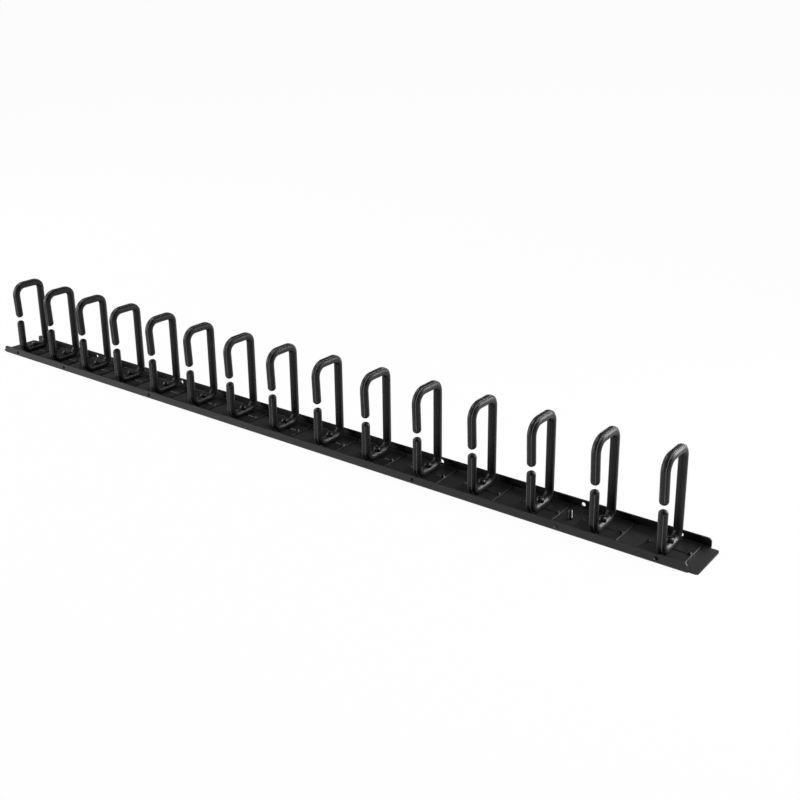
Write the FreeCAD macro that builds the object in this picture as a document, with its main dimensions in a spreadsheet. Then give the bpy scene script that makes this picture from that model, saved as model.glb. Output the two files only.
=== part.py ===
"""Vertical cable manager: a folded steel channel that carries a row of moulded D-rings.

X runs along the channel, Y across it from the mouths of the rings to their backs, and Z up from
the channel's underside. The origin is under the middle of the channel. All sizes are millimetres.
"""
import FreeCAD, Part
import math
import os

import Sketcher
from FreeCAD import Vector

SIZES = (
    # Row of rings, with what the channel adds beyond the first and last
    ("ring_count", "15"),
    ("ring_pitch", "60"),
    ("end_margin", "34"),
    # Folded channel
    ("flange_height", "8.8"),
    ("sheet_thickness", "1.5"),
    ("bend_radius", "0.8"),
    ("tab_length", "8"),
    ("tab_inset", "2.8"),
    ("tab_corner_radius", "2.5"),
    ("flange_corner_radius", "3"),
    # Round holes through both flanges, in ring pitches inwards from the end rings
    ("flange_hole_diameter", "4"),
    ("flange_hole_drop", "4"),
    ("outer_hole_step", "0"),
    ("middle_hole_step", "1.5"),
    ("inner_hole_step", "4"),
    # Bent bar of a ring, above the channel floor
    ("ring_height", "89.5"),
    ("leg_spacing", "32.4"),
    ("bar_width", "6.6"),
    ("bar_depth", "8.4"),
    ("foot_bend_radius", "8.5"),
    ("back_bend_radius", "8"),
    ("front_bend_radius", "11"),
    ("stub_height", "42.5"),
    ("mouth_gap", "4"),
    ("lip_lean", "1.2"),
    ("tip_chamfer", "1.6"),
    # Foot plate of a ring
    ("foot_length", "40"),
    ("foot_margin", "2.1"),
    ("foot_thickness", "1.5"),
    ("foot_corner", "2"),
    ("foot_clearance", "0.2"),
    ("rib_width", "1.6"),
    ("rib_height", "0.9"),
    ("lug_inset", "1.2"),
    ("lug_length", "2.4"),
    ("lug_width", "2.6"),
    ("lug_height", "1.7"),
    # Screw well in the foot bar of a ring
    ("well_wall", "0.8"),
    ("well_depth", "3.4"),
    # Studs welded to the channel floor, in ring pitches inwards from the end rings
    ("stud_step", "1.5"),
    ("stud_diameter", "4"),
    ("stud_height", "8.5"),
    ("stud_chamfer", "0.5"),
    ("stud_flange_diameter", "5.6"),
    ("stud_flange_height", "0.8"),
)

doc = FreeCAD.newDocument("cable_manager")
sizes = doc.addObject("Spreadsheet::Sheet", "sizes")
for row, (alias, value) in enumerate(SIZES, start=1):
    sizes.set(f"A{row}", alias)
    sizes.set(f"B{row}", value)
    sizes.setAlias(f"B{row}", alias)
doc.recompute()

# Sizes that several pieces share, as formulas on the sheet
LAST_RING = "((sizes.ring_count - 1) / 2 * sizes.ring_pitch)"
CHANNEL_LENGTH = f"(2 * ({LAST_RING} + sizes.end_margin))"
FLANGE_LENGTH = f"({CHANNEL_LENGTH} - 2 * sizes.tab_length)"
FOOT_WIDTH = "(sizes.leg_spacing + sizes.bar_depth + 2 * sizes.foot_margin)"
CHANNEL_WIDTH = (f"({FOOT_WIDTH} + 2 * (sizes.foot_clearance + sizes.bend_radius"
                 " + sizes.sheet_thickness))")
STUD_PLACE = f"({LAST_RING} - sizes.stud_step * sizes.ring_pitch)"
ORIGIN = -1
SIDEWAYS_AXIS = -1
UPRIGHT_AXIS = -2
START, END, CENTRE = range(1, 4)


def value_of(formula):
    """Work out a formula on the sheet."""
    return float(sizes.evalExpression(formula))


def new_body(label):
    """Start a sub-part."""
    body = doc.addObject("PartDesign::Body", label)
    body.Label = label
    return body


def datum(body, role):
    """Find one of a sub-part's own origin planes or axes."""
    return next(feature for feature in body.Origin.OriginFeatures if feature.Role == role)


def new_sketch(body, name, role, **offsets):
    """Start a sketch on an origin plane, moved by formulas along its own x, y and z."""
    sketch = body.newObject("Sketcher::SketchObject", name)
    sketch.AttachmentSupport = [(datum(body, role), "")]
    sketch.MapMode = "FlatFace"
    for axis, formula in offsets.items():
        sketch.setExpression(f"AttachmentOffset.Base.{axis}", formula)
    return sketch


def dimension(sketch, name, formula, kind, *places):
    """Add a named dimension to a sketch and bind it to the sheet."""
    index = sketch.addConstraint(Sketcher.Constraint(kind, *places, value_of(formula)))
    sketch.renameConstraint(index, name)
    sketch.setExpression(f"Constraints.{name}", formula)


def relate(sketch, kind, *places):
    """Add a constraint that has no size."""
    sketch.addConstraint(Sketcher.Constraint(kind, *places))


def draw_loop(sketch, points):
    """Draw a closed outline of straight lines and return the lines."""
    lines = []
    for start, end in zip(points, points[1:] + points[:1]):
        lines.append(sketch.addGeometry(Part.LineSegment(Vector(*start), Vector(*end))))
    for line, following in zip(lines, lines[1:] + lines[:1]):
        relate(sketch, "Coincident", line, END, following, START)
    return lines


def draw_rectangle(sketch, length, width):
    """Draw a rectangle about the sketch's origin, sized by formulas."""
    x, y = value_of(length) / 2, value_of(width) / 2
    lines = draw_loop(sketch, [(-x, -y), (x, -y), (x, y), (-x, y)])
    relate(sketch, "Horizontal", lines[0])
    relate(sketch, "Vertical", lines[1])
    relate(sketch, "Horizontal", lines[2])
    relate(sketch, "Vertical", lines[3])
    relate(sketch, "Symmetric", lines[0], START, lines[2], START, ORIGIN, START)
    dimension(sketch, "length", length, "DistanceX", lines[0], START, lines[0], END)
    dimension(sketch, "width", width, "DistanceY", lines[1], START, lines[1], END)


def draw_rounded_rectangle(sketch, length, width, radius):
    """Draw a rectangle with rounded corners about the sketch's origin, sized by formulas."""
    corner = value_of(radius)
    x, y = value_of(length) / 2 - corner, value_of(width) / 2 - corner
    arcs = []
    for turn, centre in enumerate(((x, y), (-x, y), (-x, -y), (x, -y))):
        circle = Part.Circle(Vector(*centre), Vector(0, 0, 1), corner)
        arc = Part.ArcOfCircle(circle, turn * math.pi / 2, (turn + 1) * math.pi / 2)
        arcs.append((sketch.addGeometry(arc), arc))
    lines = []
    for (_, before), (_, after) in zip(arcs, arcs[1:] + arcs[:1]):
        lines.append(sketch.addGeometry(Part.LineSegment(before.EndPoint, after.StartPoint)))
    corners = [index for index, _ in arcs]
    for before, line, after in zip(corners, lines, corners[1:] + corners[:1]):
        relate(sketch, "Tangent", before, END, line, START)
        relate(sketch, "Tangent", line, END, after, START)
    for other in corners[1:]:
        relate(sketch, "Equal", corners[0], other)
    relate(sketch, "Horizontal", lines[0])
    relate(sketch, "Vertical", lines[1])
    relate(sketch, "Horizontal", lines[2])
    relate(sketch, "Vertical", lines[3])
    relate(sketch, "Symmetric", corners[0], CENTRE, corners[2], CENTRE, ORIGIN, START)
    dimension(sketch, "radius", radius, "Radius", corners[0])
    straight_length = f"{length} - 2 * {radius}"
    straight_width = f"{width} - 2 * {radius}"
    dimension(sketch, "length", straight_length, "DistanceX", corners[1], CENTRE, corners[0], CENTRE)
    dimension(sketch, "width", straight_width, "DistanceY", corners[3], CENTRE, corners[0], CENTRE)


def draw_chamfered_rectangle(sketch, length, width, chamfer):
    """Draw a rectangle with cut corners about the sketch's origin, sized by formulas."""
    x, y, cut = value_of(length) / 2, value_of(width) / 2, value_of(chamfer)
    corners = [(-x + cut, -y), (x - cut, -y), (x, -y + cut), (x, y - cut),
               (x - cut, y), (-x + cut, y), (-x, y - cut), (-x, -y + cut)]
    lines = draw_loop(sketch, corners)
    bottom, right, top, left = lines[::2]
    for level in (bottom, top):
        relate(sketch, "Symmetric", level, START, level, END, UPRIGHT_AXIS)
    for upright in (right, left):
        relate(sketch, "Symmetric", upright, START, upright, END, SIDEWAYS_AXIS)
    relate(sketch, "Symmetric", bottom, START, top, END, SIDEWAYS_AXIS)
    relate(sketch, "Symmetric", right, START, left, END, UPRIGHT_AXIS)
    dimension(sketch, "length", length, "DistanceX", left, END, right, START)
    dimension(sketch, "width", width, "DistanceY", bottom, START, top, END)
    dimension(sketch, "cut_x", chamfer, "DistanceX", bottom, END, right, START)
    dimension(sketch, "cut_y", chamfer, "DistanceY", bottom, END, right, START)


def draw_circle(sketch, name, diameter, x=None, y=None):
    """Draw a circle at the sketch's origin, or at a place right of and above it."""
    place_x = value_of(x) if x else 0
    place_y = value_of(y) if y else 0
    circle = Part.Circle(Vector(place_x, place_y), Vector(0, 0, 1), value_of(diameter) / 2)
    index = sketch.addGeometry(circle)
    dimension(sketch, f"{name}_diameter", diameter, "Diameter", index)
    if x:
        dimension(sketch, f"{name}_x", x, "DistanceX", ORIGIN, START, index, CENTRE)
    else:
        relate(sketch, "PointOnObject", index, CENTRE, UPRIGHT_AXIS)
    if y:
        dimension(sketch, f"{name}_y", y, "DistanceY", ORIGIN, START, index, CENTRE)
    else:
        relate(sketch, "PointOnObject", index, CENTRE, SIDEWAYS_AXIS)


def pad(body, name, sketch, length, reverse=False):
    """Raise a sketch by a length from the sheet."""
    feature = body.newObject("PartDesign::Pad", name)
    feature.Profile = sketch
    feature.Reversed = reverse
    feature.setExpression("Length", length)
    doc.recompute()
    return feature


def pocket(body, name, sketch, depth=None, both_ways=False):
    """Cut a sketch downwards by a depth from the sheet, or right through."""
    before = body.Shape.Volume
    feature = body.newObject("PartDesign::Pocket", name)
    feature.Profile = sketch
    if both_ways:
        feature.SideType = "Symmetric"
    if depth:
        feature.setExpression("Length", depth)
    else:
        feature.Type = "ThroughAll"
    doc.recompute()
    if body.Shape.Volume >= before:
        raise RuntimeError(f"{name} cuts nothing")
    return feature


def dress_edges(body, kind, name, base, size_name, size, belongs):
    """Work the edges of a feature that pass a test on their middle point."""
    doc.recompute()
    edges = [f"Edge{number}" for number, edge in enumerate(base.Shape.Edges, start=1)
             if belongs(edge.CenterOfMass)]
    if not edges:
        raise RuntimeError(f"{name} finds no edge")
    feature = body.newObject(kind, name)
    feature.Base = (base, edges)
    feature.setExpression(size_name, size)
    doc.recompute()
    return feature


def fillet(body, name, base, radius, belongs):
    """Round the edges that pass a test."""
    return dress_edges(body, "PartDesign::Fillet", name, base, "Radius", radius, belongs)


def chamfer(body, name, base, size, belongs):
    """Cut off the edges that pass a test."""
    return dress_edges(body, "PartDesign::Chamfer", name, base, "Size", size, belongs)


def mirror(body, name, feature, role):
    """Repeat a feature on the other side of an origin plane."""
    copy = body.newObject("PartDesign::Mirrored", name)
    copy.Originals = [feature]
    copy.MirrorPlane = (datum(body, role), [""])
    body.Tip = copy
    doc.recompute()
    return copy


def near(a, b):
    """Tell whether two lengths are the same place."""
    return abs(a - b) < 0.01


def make_channel():
    """Fold the channel: floor with end tabs, two flanges, bends and holes."""
    body = new_body("channel")
    floor_outline = new_sketch(body, "floor_outline", "XY_Plane")
    draw_rectangle(floor_outline, FLANGE_LENGTH, CHANNEL_WIDTH)
    pad(body, "floor", floor_outline, "sizes.sheet_thickness")
    tab_outline = new_sketch(body, "tab_outline", "XY_Plane")
    tab_width = f"({CHANNEL_WIDTH} - 2 * sizes.tab_inset)"
    draw_rounded_rectangle(tab_outline, CHANNEL_LENGTH, tab_width, "sizes.tab_corner_radius")
    pad(body, "tabs", tab_outline, "sizes.sheet_thickness")
    flange_outline = new_sketch(body, "flange_outline", "XZ_Plane",
                                y="sizes.flange_height / 2", z=f"{CHANNEL_WIDTH} / 2")
    draw_rectangle(flange_outline, FLANGE_LENGTH, "sizes.flange_height")
    flange = pad(body, "flange", flange_outline, "sizes.sheet_thickness", reverse=True)
    flanges = mirror(body, "flanges", flange, "XZ_Plane")

    half_length = value_of(FLANGE_LENGTH) / 2
    half_width = value_of(CHANNEL_WIDTH) / 2
    sheet = value_of("sizes.sheet_thickness")
    height = value_of("sizes.flange_height")
    corners = fillet(body, "flange_corners", flanges, "sizes.flange_corner_radius",
                     lambda p: near(abs(p.x), half_length) and near(p.z, height))
    inner_bends = fillet(body, "inner_bends", corners, "sizes.bend_radius",
                         lambda p: near(abs(p.y), half_width - sheet) and near(p.z, sheet))
    fillet(body, "outer_bends", inner_bends, "sizes.bend_radius + sizes.sheet_thickness",
           lambda p: near(abs(p.y), half_width) and near(p.z, 0))

    flange_holes = new_sketch(body, "flange_hole_places", "XZ_Plane")
    for name in ("inner", "middle", "outer"):
        place = f"({LAST_RING} - sizes.{name}_hole_step * sizes.ring_pitch)"
        draw_circle(flange_holes, name, "sizes.flange_hole_diameter",
                    place, "(sizes.flange_height - sizes.flange_hole_drop)")
    holes = pocket(body, "flange_holes", flange_holes, both_ways=True)
    mirror(body, "flange_holes_other_end", holes, "YZ_Plane")
    return body


def draw_ring_path(sketch):
    """Draw the line that the middle of a ring's bar follows, from the stub's tip round to the lip."""
    side = value_of("sizes.leg_spacing / 2")
    low = value_of("sizes.bar_depth / 2")
    high = value_of("sizes.ring_height - sizes.bar_depth / 2")
    stub_tip = value_of("sizes.stub_height")
    lip_tip = value_of("sizes.stub_height + sizes.mouth_gap")
    lean = value_of("sizes.lip_lean")
    foot, back, front = (value_of(f"sizes.{bend}_bend_radius") for bend in ("foot", "back", "front"))
    lip_turn = math.atan2(lean, high - front - lip_tip)
    lip_top = (-side - lean, high - front)
    front_centre = (lip_top[0] + front * math.cos(lip_turn), high - front)
    quarter = math.pi / 2

    def line(start, end):
        return sketch.addGeometry(Part.LineSegment(Vector(*start), Vector(*end)))

    def arc(centre, radius, first, last):
        circle = Part.Circle(Vector(*centre), Vector(0, 0, 1), radius)
        return sketch.addGeometry(Part.ArcOfCircle(circle, first, last))

    stub = line((-side, stub_tip), (-side, low + foot))
    front_foot = arc((-side + foot, low + foot), foot, 2 * quarter, 3 * quarter)
    bottom = line((-side + foot, low), (side - foot, low))
    back_foot = arc((side - foot, low + foot), foot, 3 * quarter, 4 * quarter)
    leg = line((side, low + foot), (side, high - back))
    back_top = arc((side - back, high - back), back, 0, quarter)
    top = line((side - back, high), (front_centre[0], high))
    front_top = arc(front_centre, front, quarter, 2 * quarter - lip_turn)
    lip = line(lip_top, (-side, lip_tip))

    relate(sketch, "Tangent", stub, END, front_foot, START)
    relate(sketch, "Tangent", front_foot, END, bottom, START)
    relate(sketch, "Tangent", bottom, END, back_foot, START)
    relate(sketch, "Tangent", back_foot, END, leg, START)
    relate(sketch, "Tangent", leg, END, back_top, START)
    relate(sketch, "Tangent", back_top, END, top, START)
    relate(sketch, "Tangent", top, END, front_top, START)
    relate(sketch, "Tangent", front_top, END, lip, START)
    relate(sketch, "Vertical", stub)
    relate(sketch, "Horizontal", bottom)
    relate(sketch, "Vertical", leg)
    relate(sketch, "Horizontal", top)
    dimension(sketch, "front_foot", "sizes.foot_bend_radius", "Radius", front_foot)
    dimension(sketch, "back_foot", "sizes.foot_bend_radius", "Radius", back_foot)
    dimension(sketch, "back_top", "sizes.back_bend_radius", "Radius", back_top)
    dimension(sketch, "front_top", "sizes.front_bend_radius", "Radius", front_top)
    half_spacing = "sizes.leg_spacing / 2"
    dimension(sketch, "stub_side", half_spacing, "DistanceX", stub, START, ORIGIN, START)
    dimension(sketch, "leg_side", half_spacing, "DistanceX", ORIGIN, START, leg, START)
    dimension(sketch, "lip_side", half_spacing, "DistanceX", lip, END, ORIGIN, START)
    dimension(sketch, "lean", "sizes.lip_lean", "DistanceX", lip, START, lip, END)
    dimension(sketch, "low", "sizes.bar_depth / 2", "DistanceY", ORIGIN, START, bottom, START)
    dimension(sketch, "high", "sizes.ring_height - sizes.bar_depth / 2",
              "DistanceY", ORIGIN, START, top, START)
    dimension(sketch, "stub_tip", "sizes.stub_height", "DistanceY", ORIGIN, START, stub, START)
    dimension(sketch, "lip_tip", "sizes.stub_height + sizes.mouth_gap",
              "DistanceY", ORIGIN, START, lip, END)


def make_ring_form():
    """Mould one D-ring about its own seat on the channel floor."""
    body = new_body("d_ring_form")
    path = new_sketch(body, "bar_path", "YZ_Plane")
    draw_ring_path(path)
    section = new_sketch(body, "bar_section", "XY_Plane",
                         y="-sizes.leg_spacing / 2", z="sizes.stub_height")
    draw_rectangle(section, "sizes.bar_width", "sizes.bar_depth")
    doc.recompute()
    bar = body.newObject("PartDesign::AdditivePipe", "bar")
    bar.Profile = section
    bar.Spine = (path, [f"Edge{number}" for number in range(1, len(path.Shape.Edges) + 1)])
    doc.recompute()

    mouth = value_of("sizes.stub_height + sizes.mouth_gap / 2")
    mouth_gap = value_of("sizes.mouth_gap")
    chamfer(body, "tips", bar, "sizes.tip_chamfer",
            lambda p: p.y < 0 and abs(p.z - mouth) < mouth_gap and near(p.x, 0))

    foot_outline = new_sketch(body, "foot_outline", "XY_Plane")
    draw_chamfered_rectangle(foot_outline, "sizes.foot_length", FOOT_WIDTH, "sizes.foot_corner")
    pad(body, "foot", foot_outline, "sizes.foot_thickness")
    lug_place = "(sizes.foot_length / 2 - sizes.lug_inset - sizes.lug_length / 2)"
    rib_outline = new_sketch(body, "rib_outline", "XY_Plane")
    draw_rectangle(rib_outline, f"2 * {lug_place}", "sizes.rib_width")
    pad(body, "ribs", rib_outline, "sizes.foot_thickness + sizes.rib_height")
    lug_outline = new_sketch(body, "lug_outline", "XY_Plane", x=lug_place)
    draw_rectangle(lug_outline, "sizes.lug_length", "sizes.lug_width")
    lug = pad(body, "lug", lug_outline, "sizes.foot_thickness + sizes.lug_height")
    mirror(body, "lugs", lug, "YZ_Plane")

    well_outline = new_sketch(body, "well_outline", "XY_Plane", z="sizes.bar_depth")
    draw_circle(well_outline, "well", "(sizes.bar_width - 2 * sizes.well_wall)")
    pocket(body, "screw_well", well_outline, "sizes.well_depth")
    return body


def place_rings(form):
    """Stand the D-rings along the channel floor."""
    rings = []
    for number in range(1, int(value_of("sizes.ring_count")) + 1):
        ring = doc.addObject("App::Link", f"d_ring_{number:02d}")
        ring.Label = f"d_ring_{number:02d}"
        ring.LinkedObject = form
        ring.LinkTransform = True
        ring.setExpression("Placement.Base.x", f"{number - 1} * sizes.ring_pitch - {LAST_RING}")
        ring.setExpression("Placement.Base.z", "sizes.sheet_thickness")
        rings.append(ring)
    return rings


def draw_turned_profile(sketch, points):
    """Draw a closed half profile whose corners are (radius, height) formulas, axis first and last."""
    lines = draw_loop(sketch, [(value_of(radius), value_of(height)) for radius, height in points])
    relate(sketch, "PointOnObject", lines[0], START, UPRIGHT_AXIS)
    relate(sketch, "PointOnObject", lines[-1], START, UPRIGHT_AXIS)
    for number, (line, (radius, height)) in enumerate(zip(lines, points)):
        if value_of(radius) > 0:
            dimension(sketch, f"radius_{number}", radius, "DistanceX", ORIGIN, START, line, START)
        if value_of(height) > 0:
            dimension(sketch, f"height_{number}", height, "DistanceY", ORIGIN, START, line, START)
        else:
            relate(sketch, "PointOnObject", line, START, SIDEWAYS_AXIS)


def turn(body, name, sketch):
    """Turn a half profile about its upright axis."""
    feature = body.newObject("PartDesign::Revolution", name)
    feature.Profile = sketch
    feature.ReferenceAxis = (sketch, ["V_Axis"])
    feature.Angle = 360
    doc.recompute()
    return feature


def make_mounting_studs():
    """Turn the two flanged studs that are welded to the channel floor."""
    body = new_body("mounting_studs")
    body.AllowCompound = True
    profile = new_sketch(body, "stud_profile", "XZ_Plane", x=STUD_PLACE)
    shank = "(sizes.stud_diameter / 2)"
    flange = "(sizes.stud_flange_diameter / 2)"
    draw_turned_profile(profile, [
        ("0", "0"),
        (flange, "0"),
        (flange, "sizes.stud_flange_height"),
        (shank, "sizes.stud_flange_height"),
        (shank, "(sizes.stud_height - sizes.stud_chamfer)"),
        (f"({shank} - sizes.stud_chamfer)", "sizes.stud_height"),
        ("0", "sizes.stud_height"),
    ])
    stud = turn(body, "stud", profile)
    mirror(body, "stud_pair", stud, "YZ_Plane")
    body.setExpression("Placement.Base.z", "sizes.sheet_thickness")
    return body


channel = make_channel()
ring_form = make_ring_form()
rings = place_rings(ring_form)
mounting_studs = make_mounting_studs()
doc.recompute()

for item in doc.Objects:
    if "Invalid" in item.State or "Error" in item.State:
        raise RuntimeError(f"{item.Label} failed: {item.State}")

sub_parts = {piece.Label: Part.getShape(piece) for piece in [channel, *rings, mounting_studs]}
for label, shape in sub_parts.items():
    if shape.isNull() or not shape.isValid():
        raise RuntimeError(f"{label} is not a valid solid")

os.makedirs("parts", exist_ok=True)
for label, shape in sub_parts.items():
    shape.exportStep(f"parts/{label}.step")
    box = shape.BoundBox
    print(f"{label}: {len(shape.Solids)} solids, {shape.Volume:.0f} mm3, "
          f"{box.XLength:.1f} x {box.YLength:.1f} x {box.ZLength:.1f}, z from {box.ZMin:.2f}")
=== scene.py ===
"""Dress the vertical cable manager: moulded rings, their screws, two studs, coatings and a white studio.

The rings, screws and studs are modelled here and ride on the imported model. The folded channel keeps
its own shape and gets a powder coat. Lengths are metres.
"""

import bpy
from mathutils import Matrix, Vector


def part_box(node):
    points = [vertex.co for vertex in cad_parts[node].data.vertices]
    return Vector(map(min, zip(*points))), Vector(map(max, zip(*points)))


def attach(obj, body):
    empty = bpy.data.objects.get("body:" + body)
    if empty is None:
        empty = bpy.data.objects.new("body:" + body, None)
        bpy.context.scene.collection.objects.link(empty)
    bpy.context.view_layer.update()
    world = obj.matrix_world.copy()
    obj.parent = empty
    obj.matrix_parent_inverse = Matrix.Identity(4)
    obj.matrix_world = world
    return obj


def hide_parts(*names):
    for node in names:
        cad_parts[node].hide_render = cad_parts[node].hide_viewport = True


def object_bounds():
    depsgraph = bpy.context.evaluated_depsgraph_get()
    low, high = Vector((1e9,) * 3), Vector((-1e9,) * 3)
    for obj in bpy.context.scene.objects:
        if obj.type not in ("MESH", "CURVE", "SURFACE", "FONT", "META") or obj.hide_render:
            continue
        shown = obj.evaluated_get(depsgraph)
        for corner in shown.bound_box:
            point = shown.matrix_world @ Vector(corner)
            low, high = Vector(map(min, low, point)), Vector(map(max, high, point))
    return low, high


bl_info = {
    "name": "Vertical cable manager",
    "version": (1, 0, 0),
    "blender": (4, 5, 0),
    "location": "View3D > Sidebar > Cable manager",
    "description": "Moulds the rings, screws and studs of a vertical cable manager and lights it",
    "category": "Object",
}

import math

import bpy
from bpy.props import FloatProperty, FloatVectorProperty, PointerProperty
from bpy.types import Operator, Panel, PropertyGroup
from mathutils import Quaternion, Vector

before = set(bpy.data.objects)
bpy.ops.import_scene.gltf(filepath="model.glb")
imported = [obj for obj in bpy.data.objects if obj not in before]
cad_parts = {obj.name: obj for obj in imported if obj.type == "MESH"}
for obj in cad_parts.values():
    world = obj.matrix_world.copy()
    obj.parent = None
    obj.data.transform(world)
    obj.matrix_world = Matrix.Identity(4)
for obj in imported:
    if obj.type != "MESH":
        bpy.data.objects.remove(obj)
cad_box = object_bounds()

MM = 0.001
BODY = "root"
RING_NODES = sorted(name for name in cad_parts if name.startswith("d_ring_"))
RING_PLACES = [(sum(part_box(name), Vector()) / 2).x for name in RING_NODES]
RING_LOW, RING_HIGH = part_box(RING_NODES[0])
SEAT = RING_LOW.z
STUD_LOW, STUD_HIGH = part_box("mounting_studs")
QUARTER_TURN = math.pi / 2

# Steps that round off curves
CORNER_STEPS = 5
BEND_STEPS = 10
TIP_STEPS = 5
EDGE_STEPS = 3
ROUND_SIDES = 32
BAR_SIDES = 28
LINE_SIDES = 8
FLOOR_SIDES = 96

# Edges flatter than these angles are shaded smoothly
MOULDED_EDGE = math.radians(40)
LINE_EDGE = math.radians(60)
THREAD_EDGE = math.radians(30)

# Points closer than this count as one
SAME_POINT = 0.001 * MM

# A face whose normal reaches further than this along an axis faces that way
FACING = 0.9

# Values between which nearly all of a noise pattern lies
PATTERN_LOW = 0.3
PATTERN_HIGH = 0.7


def length(label, about, default):
    """Describe a length that a user may change."""
    return FloatProperty(name=label, description=about, default=default, min=0.0, precision=5, unit="LENGTH")


def share(label, about, default):
    """Describe a share between nothing and all."""
    return FloatProperty(name=label, description=about, default=default, min=0.0, max=1.0, subtype="FACTOR")


def degrees(label, about, default):
    """Describe an angle, whose default is given in degrees."""
    return FloatProperty(name=label, description=about, default=math.radians(default), subtype="ANGLE")


def watts(label, about, default):
    """Describe the power of a lamp."""
    return FloatProperty(name=label, description=about, default=default, min=0.0, unit="POWER")


def colour(label, about, default):
    """Describe a colour."""
    return FloatVectorProperty(name=label, description=about, default=default, min=0.0, max=1.0, size=3,
                               subtype="COLOR")


class RingSettings(PropertyGroup):
    """Sizes and finish of a moulded ring"""

    bar_radius: length("Bar radius", "Radius of the round bar", 4.05 * MM)
    leg_spacing: length("Leg spacing", "Distance between the middles of the two legs", 32.4 * MM)
    foot_bend: length("Foot bends", "Radius of the two bends at the foot", 8.5 * MM)
    back_bend: length("Back bend", "Radius of the upper bend at the back", 8.0 * MM)
    front_bend: length("Front bend", "Radius of the upper bend at the front", 11.0 * MM)
    stub_height: length("Stub height", "Height of the short front leg above the seat", 42.5 * MM)
    mouth_gap: length("Mouth", "Gap between the stub and the lip", 4.0 * MM)
    lip_lean: length("Lip lean", "How far the lip leans out at its top", 1.2 * MM)
    tip_length: length("Tip rounding", "Length of the two rounded tips", 3.4 * MM)
    plate_thickness: length("Plate thickness", "Thickness of the foot plate", 1.5 * MM)
    plate_corner: length("Plate corners", "Radius of the foot plate's corners", 2.0 * MM)
    plate_edge: length("Plate edge", "Rounding along the foot plate's upper edge", 0.45 * MM)
    root: length("Root", "How deep the rib and the lugs are sunk into the foot plate", 0.3 * MM)
    rib_width: length("Rib width", "Width of the rib along the foot plate, at its root", 3.5 * MM)
    rib_height: length("Rib height", "Height of the rib above the foot plate", 0.65 * MM)
    rib_taper: share("Rib taper", "Width of the rib's top, as a share of its root", 0.06)
    lug_width: length("Lug width", "Width of the lug at each end of the rib, at its root", 3.4 * MM)
    lug_height: length("Lug height", "Height of the lug above the foot plate", 1.9 * MM)
    lug_taper: share("Lug taper", "Width of a lug's top, as a share of its root", 0.36)
    lug_inset: length("Lug inset", "Distance of the lug's root from the end of the foot plate", 0.5 * MM)
    well_radius: length("Well radius", "Radius of the screw's well in the foot bar", 3.7 * MM)
    well_depth: length("Well depth", "Depth of the screw's well", 1.4 * MM)
    well_flare: length("Well flare", "Width of the flare round the well's mouth", 0.3 * MM)
    line_radius: length("Mould line", "Radius of the fine mould lines along the bar", 0.3 * MM)
    line_turn: degrees("Mould line turn", "Turn of the mould lines from the outer side", 28)
    tint: colour("Plastic", "Colour of the moulded plastic", (0.008, 0.008, 0.0084))
    # The mould lines' pale tint is a painted highlight: it stands in for the thin light line along the bar
    line_highlight_tint: colour("Mould line tint", "Colour of the mould lines, lightened as a painted highlight", (0.13, 0.13, 0.13))
    roughness: share("Roughness", "Roughness of the moulded plastic", 0.42)


class ScrewSettings(PropertyGroup):
    """Sizes and finish of a ring's screw"""

    head_radius: length("Head radius", "Radius of the pan head", 3.5 * MM)
    head_height: length("Head height", "Height of the pan head", 4.4 * MM)
    head_dome: length("Head dome", "Rounding of the pan head", 2.4 * MM)
    recess_length: length("Recess length", "Length of each arm of the cross recess, tip to tip", 3.4 * MM)
    recess_width: length("Recess width", "Width of each arm of the cross recess", 0.8 * MM)
    recess_depth: length("Recess depth", "Depth of the cross recess", 1.0 * MM)
    tint: colour("Plating", "Colour of the screw's black plating", (0.035, 0.035, 0.037))
    roughness: share("Roughness", "Roughness of the screw's plating", 0.34)


class StudSettings(PropertyGroup):
    """Sizes and finish of a welded stud"""

    radius: length("Radius", "Outer radius of the thread", 2.0 * MM)
    flange_radius: length("Flange radius", "Radius of the weld flange", 2.8 * MM)
    flange_height: length("Flange height", "Height of the weld flange", 0.8 * MM)
    thread_pitch: length("Thread pitch", "Distance between the threads", 0.7 * MM)
    thread_depth: length("Thread depth", "Depth of the thread", 0.35 * MM)
    chamfer: length("Chamfer", "Chamfer at the stud's top", 0.5 * MM)
    tint: colour("Steel", "Colour of the stud's dull steel", (0.1, 0.1, 0.103))
    roughness: share("Roughness", "Roughness of the stud's steel", 0.4)


class ChannelSettings(PropertyGroup):
    """Finish of the folded channel"""

    tint: colour("Powder coat", "Colour of the channel's powder coat", (0.009, 0.009, 0.0093))
    roughness: share("Roughness", "Roughness of the powder coat", 0.52)
    grain: length("Grain", "Size of the powder coat's fine grain", 0.9 * MM)


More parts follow.
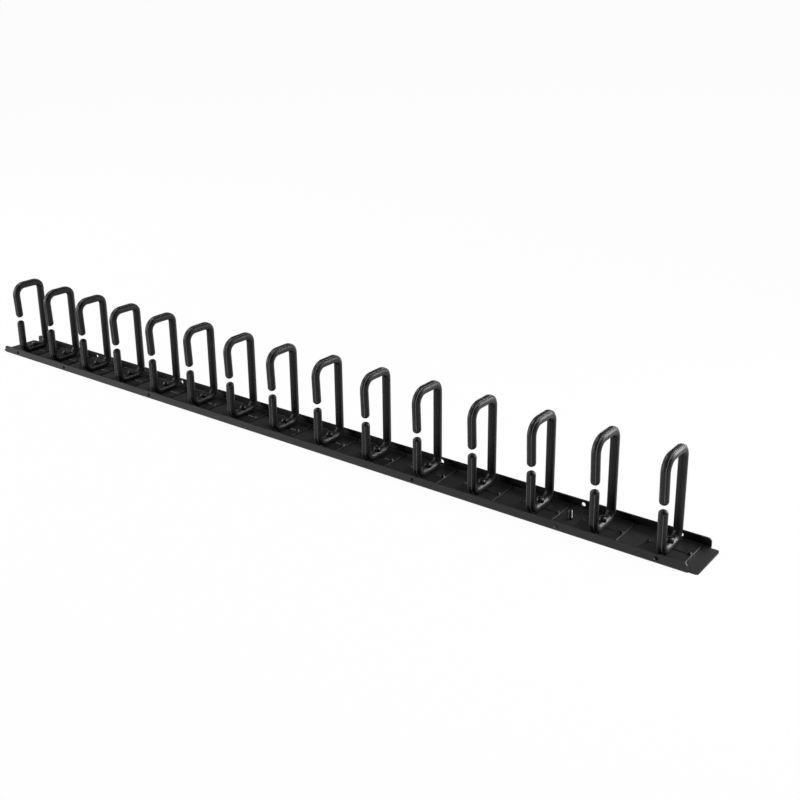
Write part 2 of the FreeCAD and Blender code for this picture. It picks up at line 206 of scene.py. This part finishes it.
class StageSettings(PropertyGroup):
    """Camera, floor and lights"""

    eye: FloatVectorProperty(name="Eye", description="Place of the camera", size=3, subtype="TRANSLATION",
                             default=(732.6 * MM, -765.7 * MM, 454.5 * MM))
    azimuth: degrees("Azimuth", "Turn of the view round the upright axis", 37.29)
    elevation: degrees("Elevation", "Height of the view above level", 17.86)
    roll: degrees("Roll", "Tilt of the camera about its own line of sight", -0.6)
    lens: FloatProperty(name="Lens", description="Focal length in millimetres on a 36 mm sensor",
                        default=50.09, min=1.0)
    shift: FloatProperty(name="Shift", description="Rise of the lens, as a share of the picture's width",
                         default=-0.098)
    floor_tint: colour("Floor", "Colour of the pale floor", (0.86, 0.86, 0.86))
    floor_white: share("Floor white", "How far the floor is washed out to white in the picture", 0.97)
    floor_radius: length("Floor radius", "Radius of the round floor", 9.0)
    floor_gap: length("Floor gap", "Gap between the channel and the floor", 0.2 * MM)
    rim_height: length("Rim height", "Height of the low rim that the floor curves up to", 1.45)
    ambient: FloatProperty(name="Ambient", description="Strength of the even light from all round",
                           default=0.04, min=0.0)
    key_power: watts("Key light", "Power of the low lamp behind the near end", 1.9)
    back_power: watts("Back light", "Power of the lamp high behind the near end", 12.0)
    fill_power: watts("Fill light", "Power of the lamp beyond the far end, in front", 30.0)
    top_power: watts("Top light", "Power of the lamp over the near end", 3.4)
    high_power: watts("High light", "Power of the lamp high up beyond the far end", 22.0)


def clear_selection():
    """Leave nothing selected, so that the next operator acts on its own piece only."""
    active = bpy.context.view_layer.objects.active
    if active and active.mode != "OBJECT":
        bpy.ops.object.mode_set(mode="OBJECT")
    bpy.ops.object.select_all(action="DESELECT")


def make_active(piece):
    """Select one piece for the operators that follow."""
    clear_selection()
    piece.select_set(True)
    bpy.context.view_layer.objects.active = piece


def new_piece(name):
    """Name the primitive that was just added and go into edit mode with all of it selected."""
    piece = bpy.context.object
    piece.name = piece.data.name = name
    bpy.ops.object.mode_set(mode="EDIT")
    bpy.ops.mesh.select_mode(type="FACE")
    bpy.ops.mesh.select_all(action="SELECT")
    return piece


def extrude(step):
    """Draw the selected face out by a step."""
    bpy.ops.mesh.extrude_region_move(TRANSFORM_OT_translate={"value": step})


def bend(centre_y, centre_z, angle):
    """Draw the selected face round an axis that runs along the channel."""
    bpy.ops.mesh.spin(steps=BEND_STEPS, angle=-angle, center=(0, centre_y, centre_z), axis=(1, 0, 0))


def scale_about(centre, factors):
    """Scale what is selected about a point."""
    bpy.ops.transform.resize(value=factors, center_override=centre)


def select_parts(piece, parts, kind, test):
    """Select the faces or edges that pass a test, and stay in edit mode for the next operator."""
    bpy.ops.object.mode_set(mode="EDIT")
    bpy.ops.mesh.select_mode(type=kind)
    bpy.ops.mesh.select_all(action="DESELECT")
    bpy.ops.object.mode_set(mode="OBJECT")
    chosen = [part for part in getattr(piece.data, parts) if test(part)]
    if not chosen:
        raise RuntimeError(f"{piece.name} has none of the {parts} looked for")
    for part in chosen:
        part.select = True
    bpy.ops.object.mode_set(mode="EDIT")


def select_faces(piece, test):
    """Select the faces whose centre and normal pass a test."""
    select_parts(piece, "polygons", "FACE", lambda face: test(face.center, face.normal))


def select_edges(piece, test):
    """Select the edges whose two ends pass a test."""
    points = piece.data.vertices
    select_parts(piece, "edges", "EDGE", lambda edge: test(*(points[end].co for end in edge.vertices)))


def is_upright(start, end):
    """Tell whether an edge stands straight up."""
    return abs(start.x - end.x) + abs(start.y - end.y) < SAME_POINT


def close_mesh(piece):
    """Merge doubled points, turn all faces outwards and go back to object mode."""
    bpy.ops.object.mode_set(mode="EDIT")
    bpy.ops.mesh.select_all(action="SELECT")
    bpy.ops.mesh.remove_doubles(threshold=SAME_POINT)
    bpy.ops.mesh.normals_make_consistent(inside=False)
    bpy.ops.object.mode_set(mode="OBJECT")
    return piece


def add_block(name, low, high):
    """Start a block between two corners."""
    clear_selection()
    bpy.ops.mesh.primitive_cube_add(size=1)
    block = new_piece(name)
    scale_about((0, 0, 0), tuple(high - low))
    bpy.ops.transform.translate(value=(low + high) / 2)
    bpy.ops.object.mode_set(mode="OBJECT")
    return block


def select_top(block):
    """Select a block's upper face."""
    select_faces(block, lambda centre, normal: normal.z > FACING)


def round_block(block, corner, edge):
    """Round a block's upright edges, then the edge round its top."""
    select_edges(block, is_upright)
    bpy.ops.mesh.bevel(offset=corner, segments=CORNER_STEPS, affect="EDGES")
    select_top(block)
    bpy.ops.mesh.bevel(offset=edge, segments=EDGE_STEPS, affect="EDGES")
    return close_mesh(block)


def taper_block(block, centre, factors):
    """Draw in a block's top about a point, so that its sides slope."""
    select_top(block)
    scale_about(centre, factors)
    return close_mesh(block)


def stack_rounds(name, profile):
    """Build up a round piece on its upright axis from (radius, height) pairs."""
    clear_selection()
    radius, height = profile[0]
    bpy.ops.mesh.primitive_circle_add(vertices=ROUND_SIDES, radius=radius, fill_type="NGON")
    piece = new_piece(name)
    bpy.ops.transform.translate(value=(0, 0, height))
    for next_radius, next_height in profile[1:]:
        extrude((0, 0, next_height - height))
        factor = next_radius / radius
        scale_about((0, 0, next_height), (factor, factor, 1))
        radius, height = next_radius, next_height
    return close_mesh(piece)


def combine(piece, tool, operation):
    """Join a tool shape to a piece, or cut it out, and take the tool away."""
    make_active(piece)
    bpy.ops.object.modifier_add(type="BOOLEAN")
    modifier = piece.modifiers[-1]
    modifier.operation = operation
    modifier.solver = "MANIFOLD"
    modifier.object = tool
    bpy.ops.object.modifier_apply(modifier=modifier.name)
    bpy.data.objects.remove(tool)


def smooth(piece, angle):
    """Shade a piece smoothly over edges flatter than an angle, with its flat faces kept flat."""
    make_active(piece)
    bpy.ops.object.shade_smooth_by_angle(angle=angle)
    bpy.ops.object.modifier_add(type="WEIGHTED_NORMAL")
    modifier = piece.modifiers[-1]
    modifier.keep_sharp = True
    bpy.ops.object.modifier_apply(modifier=modifier.name)


def copy_to(piece, name, place):
    """Copy a piece with its own mesh to a place, which goes into the mesh."""
    make_active(piece)
    bpy.ops.object.duplicate(linked=False)
    twin = bpy.context.object
    twin.name = twin.data.name = name
    twin.location = place
    bpy.ops.object.transform_apply(location=True, rotation=False, scale=False)
    return twin


def new_finish(name, roughness, gloss):
    """Start a material and hand back its nodes, its links and its shader."""
    finish = bpy.data.materials.new(name)
    finish.use_nodes = True
    shader = finish.node_tree.nodes["Principled BSDF"]
    shader.inputs["Roughness"].default_value = roughness
    shader.inputs["Specular IOR Level"].default_value = gloss
    return finish, finish.node_tree.nodes, finish.node_tree.links, shader


def add_noise(nodes, links, size, detail):
    """Add a cloudy pattern in the piece's own coordinates, with features of a given size."""
    place = nodes.new("ShaderNodeTexCoord")
    noise = nodes.new("ShaderNodeTexNoise")
    noise.inputs["Scale"].default_value = 1 / size
    noise.inputs["Detail"].default_value = detail
    links.new(place.outputs["Object"], noise.inputs["Vector"])
    return noise.outputs["Fac"]


def vary(nodes, links, pattern, low, high, socket):
    """Let a pattern move a number between two values."""
    spread = nodes.new("ShaderNodeMapRange")
    spread.inputs["From Min"].default_value = PATTERN_LOW
    spread.inputs["From Max"].default_value = PATTERN_HIGH
    spread.inputs["To Min"].default_value = low
    spread.inputs["To Max"].default_value = high
    links.new(pattern, spread.inputs["Value"])
    links.new(spread.outputs["Result"], socket)


def mottle(nodes, links, pattern, tint, spread, socket):
    """Let a pattern move a colour a little darker and lighter."""
    ramp = nodes.new("ShaderNodeValToRGB")
    dark, light = ramp.color_ramp.elements
    dark.position = PATTERN_LOW
    dark.color = (*(part * (1 - spread) for part in tint), 1)
    light.position = PATTERN_HIGH
    light.color = (*(part * (1 + spread) for part in tint), 1)
    links.new(pattern, ramp.inputs["Fac"])
    links.new(ramp.outputs["Color"], socket)


def roughen(nodes, links, pattern, depth, strength, shader):
    """Let a pattern stand out of the surface by a depth."""
    relief = nodes.new("ShaderNodeBump")
    relief.inputs["Strength"].default_value = strength
    relief.inputs["Distance"].default_value = depth
    links.new(pattern, relief.inputs["Height"])
    links.new(relief.outputs["Normal"], shader.inputs["Normal"])


def moulded_plastic(name, tint, roughness):
    """Make the rings' plastic: a little cloudy, with the fine grain of the mould."""
    finish, nodes, links, shader = new_finish(name, roughness, gloss=0.28)
    cloud = add_noise(nodes, links, size=14 * MM, detail=3)
    grain = add_noise(nodes, links, size=1.5 * MM, detail=2)
    mottle(nodes, links, cloud, tint, spread=0.18, socket=shader.inputs["Base Color"])
    vary(nodes, links, cloud, low=roughness - 0.04, high=roughness + 0.05,
         socket=shader.inputs["Roughness"])
    roughen(nodes, links, grain, depth=0.01 * MM, strength=0.12, shader=shader)
    return finish


def powder_coat(tint, roughness, grain_size):
    """Make the channel's black powder coat: satin, with an orange-peel grain."""
    finish, nodes, links, shader = new_finish("powder_coat", roughness, gloss=0.36)
    cloud = add_noise(nodes, links, size=30 * MM, detail=4)
    peel = add_noise(nodes, links, size=grain_size, detail=2)
    mottle(nodes, links, peel, tint, spread=0.22, socket=shader.inputs["Base Color"])
    vary(nodes, links, cloud, low=roughness - 0.05, high=roughness + 0.06,
         socket=shader.inputs["Roughness"])
    roughen(nodes, links, peel, depth=0.03 * MM, strength=0.35, shader=shader)
    return finish


def plated_metal(name, tint, roughness):
    """Make a metal plating with fine blotches."""
    finish, nodes, links, shader = new_finish(name, roughness, gloss=0.5)
    shader.inputs["Metallic"].default_value = 1.0
    blotch = add_noise(nodes, links, size=1.2 * MM, detail=4)
    mottle(nodes, links, blotch, tint, spread=0.25, socket=shader.inputs["Base Color"])
    vary(nodes, links, blotch, low=roughness - 0.06, high=roughness + 0.08,
         socket=shader.inputs["Roughness"])
    return finish


def paint(piece, finish):
    """Give a piece its one material."""
    piece.data.materials.clear()
    piece.data.materials.append(finish)


def fit_in(piece, slot, *nodes):
    """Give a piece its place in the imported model, and hide the plain nodes that it stands for."""
    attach(piece, BODY)
    if nodes:
        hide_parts(*nodes)


def round_tip(centre, direction, reach):
    """Dome the selected round end: draw it out in steps that follow a quarter ellipse."""
    reached, width = 0.0, 1.0
    for step in range(1, TIP_STEPS):
        turn = QUARTER_TURN * step / TIP_STEPS
        rise, next_width = reach * math.sin(turn), math.cos(turn)
        extrude(direction * (rise - reached))
        factor = next_width / width
        scale_about(centre + direction * rise, (factor, factor, 1))
        reached, width = rise, next_width
    extrude(direction * (reach - reached))
    bpy.ops.mesh.merge(type="CENTER")


def follow_ring(name, ring, radius, sides, along, outwards, tip):
    """Draw a round section from a ring's stub round the foot, the back and the top to its lip.

    The section stands off the bar's middle line along the channel and outwards.
    """
    side = ring.leg_spacing / 2
    low = SEAT + ring.bar_radius
    high = RING_HIGH.z - ring.bar_radius
    stub_end = SEAT + ring.stub_height - ring.tip_length
    lip_end = SEAT + ring.stub_height + ring.mouth_gap + ring.tip_length
    lip_turn = math.atan2(ring.lip_lean, high - ring.front_bend - lip_end + ring.tip_length)
    front_centre = ring.front_bend * math.cos(lip_turn) - side - ring.lip_lean
    lip_top = high - ring.front_bend - ring.front_bend * math.sin(lip_turn)
    lip_line = Vector((0, math.sin(lip_turn), -math.cos(lip_turn)))
    lip_side = Vector((0, math.cos(lip_turn), math.sin(lip_turn)))
    lip_length = (lip_top - lip_end) / math.cos(lip_turn)
    stub_centre = Vector((along, -side - outwards, stub_end))
    lip_start = Vector((along, -side - ring.lip_lean, lip_top))
    lip_centre = lip_start + lip_line * lip_length - lip_side * outwards

    clear_selection()
    bpy.ops.mesh.primitive_circle_add(vertices=sides, radius=radius, fill_type="NGON")
    bar = new_piece(name)
    bpy.ops.transform.translate(value=stub_centre)
    extrude((0, 0, low + ring.foot_bend - stub_end))
    bend(ring.foot_bend - side, low + ring.foot_bend, QUARTER_TURN)
    extrude((0, 2 * (side - ring.foot_bend), 0))
    bend(side - ring.foot_bend, low + ring.foot_bend, QUARTER_TURN)
    extrude((0, 0, high - ring.back_bend - low - ring.foot_bend))
    bend(side - ring.back_bend, high - ring.back_bend, QUARTER_TURN)
    extrude((0, front_centre - side + ring.back_bend, 0))
    bend(front_centre, high - ring.front_bend, QUARTER_TURN + lip_turn)
    extrude(lip_line * lip_length)
    round_tip(lip_centre, lip_line, tip)
    select_faces(bar, lambda centre, normal: abs(normal.z) > FACING
                 and abs(centre.z - stub_end) < SAME_POINT)
    round_tip(stub_centre, Vector((0, 0, 1)), tip)
    return close_mesh(bar)


def add_mould_lines(form, ring, finish):
    """Lay a fine raised mould line along each flank of the bar."""
    along = ring.bar_radius * math.sin(ring.line_turn)
    outwards = ring.bar_radius * math.cos(ring.line_turn)
    lines = []
    for place in (-along, along):
        line = follow_ring("mould_line", ring, ring.line_radius, LINE_SIDES, place, outwards,
                           ring.line_radius)
        paint(line, finish)
        smooth(line, LINE_EDGE)
        lines.append(line)
    make_active(form)
    for line in lines:
        line.select_set(True)
    bpy.ops.object.join()


def add_foot(bar, ring):
    """Mould the foot plate, its rib and its two lugs onto the bar."""
    plate_top = SEAT + ring.plate_thickness
    half_length = (RING_HIGH.x - RING_LOW.x) / 2
    half_width = (RING_HIGH.y - RING_LOW.y) / 2
    foot = add_block("foot", Vector((-half_length, -half_width, SEAT)),
                     Vector((half_length, half_width, plate_top)))
    round_block(foot, ring.plate_corner, ring.plate_edge)

    inside = plate_top - ring.root
    rib_top = plate_top + ring.rib_height
    lug_top = plate_top + ring.lug_height
    reach = ring.lug_width / 2
    lug_middle = half_length - ring.lug_inset - reach
    rib = add_block("rib", Vector((-lug_middle, -ring.rib_width / 2, inside)),
                    Vector((lug_middle, ring.rib_width / 2, rib_top)))
    taper_block(rib, (0, 0, rib_top), (1, ring.rib_taper, 1))
    combine(foot, rib, "UNION")
    for middle in (-lug_middle, lug_middle):
        lug = add_block("lug", Vector((middle - reach, -reach, inside)),
                        Vector((middle + reach, reach, lug_top)))
        taper_block(lug, (middle, 0, lug_top), (ring.lug_taper, ring.lug_taper, 1))
        combine(foot, lug, "UNION")
    combine(bar, foot, "UNION")


def cut_well(bar, ring):
    """Cut the flared well for the screw into the foot bar."""
    mouth = SEAT + 2 * ring.bar_radius
    flare = ring.well_flare
    flare_end = mouth + 0.2 * MM
    clear_of_bar = mouth + 2 * MM
    cutter = stack_rounds("well_cutter", [
        (ring.well_radius, mouth - ring.well_depth),
        (ring.well_radius, mouth - flare),
        (ring.well_radius + flare, flare_end),
        (ring.well_radius + flare, clear_of_bar),
    ])
    combine(bar, cutter, "DIFFERENCE")


class MouldRings(Operator):
    """Mould one ring and stand a copy at each place along the channel"""

    bl_idname = "cable_manager.mould_rings"
    bl_label = "Mould rings"

    def execute(self, context):
        ring = context.scene.cable_ring
        form = follow_ring("ring_form", ring, ring.bar_radius, BAR_SIDES, 0, 0, ring.tip_length)
        add_foot(form, ring)
        cut_well(form, ring)
        close_mesh(form)
        smooth(form, MOULDED_EDGE)
        paint(form, moulded_plastic("moulded_plastic", ring.tint, ring.roughness))
        # The mould lines get the pale plastic, a painted highlight along the bar
        add_mould_lines(form, ring, moulded_plastic("scuffed_plastic", ring.line_highlight_tint, ring.roughness))
        for node, place in zip(RING_NODES, RING_PLACES):
            fit_in(copy_to(form, f"{node}_moulded", (place, 0, 0)), "ring", node)
        bpy.data.objects.remove(form)
        return {"FINISHED"}


class TurnScrews(Operator):
    """Turn one pan-head screw and set a copy in each ring's well"""

    bl_idname = "cable_manager.turn_screws"
    bl_label = "Turn screws"

    def execute(self, context):
        ring = context.scene.cable_ring
        screw = context.scene.cable_screw
        seat = SEAT + 2 * ring.bar_radius - ring.well_depth
        top = seat + screw.head_height
        shoulder = top - screw.head_dome
        profile = [(screw.head_radius, seat), (screw.head_radius, shoulder)]
        for step in range(1, TIP_STEPS + 1):
            turn = QUARTER_TURN * step / TIP_STEPS
            profile.append((screw.head_radius - screw.head_dome * (1 - math.cos(turn)),
                            shoulder + screw.head_dome * math.sin(turn)))
        form = stack_rounds("screw_form", profile)
        for long_x, long_y in ((screw.recess_length, screw.recess_width),
                               (screw.recess_width, screw.recess_length)):
            slot = add_block("recess", Vector((-long_x / 2, -long_y / 2, top - screw.recess_depth)),
                             Vector((long_x / 2, long_y / 2, top + screw.recess_depth)))
            combine(form, slot, "DIFFERENCE")
        close_mesh(form)
        smooth(form, MOULDED_EDGE)
        paint(form, plated_metal("black_plating", screw.tint, screw.roughness))
        for number, place in enumerate(RING_PLACES, start=1):
            fit_in(copy_to(form, f"ring_screw_{number:02d}", (place, 0, 0)), "stud")
        bpy.data.objects.remove(form)
        return {"FINISHED"}


class TurnStuds(Operator):
    """Turn the two threaded studs of the channel floor"""

    bl_idname = "cable_manager.turn_studs"
    bl_label = "Turn studs"

    def execute(self, context):
        stud = context.scene.cable_stud
        foot, top = STUD_LOW.z, STUD_HIGH.z
        shank = foot + stud.flange_height
        root = stud.radius - stud.thread_depth
        profile = [(stud.flange_radius, foot), (stud.flange_radius, shank), (root, shank)]
        threads = int((top - stud.chamfer - shank) / stud.thread_pitch)
        for thread in range(threads):
            start = shank + thread * stud.thread_pitch
            profile.append((stud.radius, start + stud.thread_pitch / 2))
            profile.append((root, start + stud.thread_pitch))
        profile.append((root, top - stud.chamfer / 2))
        profile.append((root - stud.chamfer / 2, top))
        form = stack_rounds("stud_form", profile)
        smooth(form, THREAD_EDGE)
        place = STUD_HIGH.x - stud.flange_radius
        left = copy_to(form, "stud_left", (-place, 0, 0))
        studs = copy_to(form, "studs_threaded", (place, 0, 0))
        bpy.data.objects.remove(form)
        left.select_set(True)
        bpy.ops.object.join()
        paint(studs, plated_metal("dull_steel", stud.tint, stud.roughness))
        fit_in(studs, "stud", "mounting_studs")
        return {"FINISHED"}


class CoatChannel(Operator):
    """Give the folded channel its powder coat"""

    bl_idname = "cable_manager.coat_channel"
    bl_label = "Coat channel"

    def execute(self, context):
        channel = context.scene.cable_channel
        finish = powder_coat(channel.tint, channel.roughness, channel.grain)
        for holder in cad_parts["channel"].material_slots:
            holder.material = finish
        return {"FINISHED"}


def add_softbox(name, place, target, size, power, spread=math.pi):
    """Hang a rectangular lamp that looks at a point and sends its light into a cone."""
    lamp = bpy.data.lights.new(name, "AREA")
    lamp.shape = "RECTANGLE"
    lamp.size, lamp.size_y = size
    lamp.energy = power
    lamp.spread = spread
    holder = bpy.data.objects.new(name, lamp)
    bpy.context.scene.collection.objects.link(holder)
    holder.location = place
    holder.rotation_euler = (target - Vector(place)).to_track_quat("-Z", "Y").to_euler()


def shown_directly(nodes, links):
    """Add the test for a ray that carries the background to the eye, straight or by a reflection."""
    path = nodes.new("ShaderNodeLightPath")
    total = path.outputs["Is Camera Ray"]
    for ray in ("Is Glossy Ray", "Is Transmission Ray"):
        add = nodes.new("ShaderNodeMath")
        add.operation = "ADD"
        add.use_clamp = True
        links.new(total, add.inputs[0])
        links.new(path.outputs[ray], add.inputs[1])
        total = add.outputs["Value"]
    return total


def white_floor(tint, white):
    """Make the floor: pale and shadowed, but washed out towards white where it is seen."""
    finish, nodes, links, shader = new_finish("pale_floor", roughness=0.8, gloss=0.0)
    shader.inputs["Base Color"].default_value = (*tint, 1)
    wash = nodes.new("ShaderNodeEmission")
    amount = nodes.new("ShaderNodeMath")
    amount.operation = "MULTIPLY"
    amount.inputs[1].default_value = white
    links.new(shown_directly(nodes, links), amount.inputs[0])
    blend = nodes.new("ShaderNodeMixShader")
    links.new(amount.outputs["Value"], blend.inputs["Fac"])
    links.new(shader.outputs["BSDF"], blend.inputs[1])
    links.new(wash.outputs["Emission"], blend.inputs[2])
    links.new(blend.outputs["Shader"], nodes["Material Output"].inputs["Surface"])
    return finish


def light_evenly(ambient):
    """Light the scene evenly and faintly from all round."""
    world = bpy.data.worlds.new("studio")
    world.use_nodes = True
    background = world.node_tree.nodes["Background"]
    background.inputs["Color"].default_value = (1, 1, 1, 1)
    background.inputs["Strength"].default_value = ambient
    bpy.context.scene.world = world


def lay_floor(stage):
    """Lay a round floor just under the channel, with a low rim that curves up far out all round."""
    rise = stage.rim_height
    flat_radius = stage.floor_radius - rise
    clear_selection()
    bpy.ops.mesh.primitive_circle_add(vertices=FLOOR_SIDES, radius=flat_radius, fill_type="NGON")
    floor = new_piece("floor")
    bpy.ops.transform.translate(value=(0, 0, cad_box[0].z - stage.floor_gap))
    radius, height = flat_radius, 0.0
    for step in range(1, BEND_STEPS + 1):
        turn = QUARTER_TURN * step / BEND_STEPS
        next_radius, next_height = flat_radius + rise * math.sin(turn), rise * (1 - math.cos(turn))
        extrude((0, 0, next_height - height))
        factor = next_radius / radius
        scale_about((0, 0, 0), (factor, factor, 1))
        radius, height = next_radius, next_height
    bpy.ops.mesh.delete(type="FACE")
    close_mesh(floor)
    bpy.ops.object.shade_smooth()
    floor.data.materials.append(white_floor(stage.floor_tint, stage.floor_white))


class SetStage(Operator):
    """Lay the floor, hang the lamps and place the camera"""

    bl_idname = "cable_manager.set_stage"
    bl_label = "Set stage"

    def execute(self, context):
        stage = context.scene.cable_stage
        clear_selection()
        lay_floor(stage)
        light_evenly(stage.ambient)

        middle = sum(cad_box, Vector()) / 2
        far_end = Vector((cad_box[0].x, middle.y, middle.z))
        near_end = Vector((cad_box[1].x, middle.y, middle.z))
        add_softbox("key", place=(0.95, 0.85, 0.36), target=near_end, size=(0.5, 0.65),
                    power=stage.key_power, spread=math.radians(60))
        add_softbox("back", place=(0.6, 2.7, 1.5), target=near_end, size=(1.6, 1.4), power=stage.back_power)
        add_softbox("fill", place=(-1.6, -1.1, 0.5), target=far_end, size=(1.2, 0.8), power=stage.fill_power)
        add_softbox("top", place=(0.7, 0.35, 0.8), target=near_end, size=(0.6, 0.6), power=stage.top_power)
        add_softbox("high", place=(-1.3, 0.05, 1.7), target=middle, size=(0.5, 0.5), power=stage.high_power)

        lens = bpy.data.cameras.new("camera")
        lens.lens = stage.lens
        lens.shift_y = stage.shift
        camera = bpy.data.objects.new("camera", lens)
        context.scene.collection.objects.link(camera)
        towards = Vector((-math.sin(stage.azimuth) * math.cos(stage.elevation),
                          math.cos(stage.azimuth) * math.cos(stage.elevation), -math.sin(stage.elevation)))
        camera.location = stage.eye
        camera.rotation_mode = "QUATERNION"
        camera.rotation_quaternion = (towards.to_track_quat("-Z", "Y")
                                      @ Quaternion((0, 0, 1), stage.roll))
        context.scene.camera = camera
        context.scene.view_settings.view_transform = "Standard"
        return {"FINISHED"}


class CableManagerPanel(Panel):
    """List the steps that dress the cable manager"""

    bl_idname = "CABLE_MANAGER_PT_steps"
    bl_label = "Cable manager"
    bl_space_type = "VIEW_3D"
    bl_region_type = "UI"
    bl_category = "Cable manager"

    def draw(self, context):
        for step in STEPS:
            self.layout.operator(step.bl_idname)


SETTINGS = {
    "cable_ring": RingSettings,
    "cable_screw": ScrewSettings,
    "cable_stud": StudSettings,
    "cable_channel": ChannelSettings,
    "cable_stage": StageSettings,
}
STEPS = (CoatChannel, MouldRings, TurnScrews, TurnStuds, SetStage)


def register():
    """Make the settings, steps and panel known to Blender."""
    for name, settings in SETTINGS.items():
        bpy.utils.register_class(settings)
        setattr(bpy.types.Scene, name, PointerProperty(type=settings))
    for step in STEPS:
        bpy.utils.register_class(step)
    bpy.utils.register_class(CableManagerPanel)


def unregister():
    """Take the panel, steps and settings away again."""
    bpy.utils.unregister_class(CableManagerPanel)
    for step in reversed(STEPS):
        bpy.utils.unregister_class(step)
    for name, settings in reversed(SETTINGS.items()):
        delattr(bpy.types.Scene, name)
        bpy.utils.unregister_class(settings)


def main():
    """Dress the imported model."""
    register()
    bpy.ops.cable_manager.coat_channel()
    bpy.ops.cable_manager.mould_rings()
    bpy.ops.cable_manager.turn_screws()
    bpy.ops.cable_manager.turn_studs()
    bpy.ops.cable_manager.set_stage()


if __name__ == "__main__":
    main()
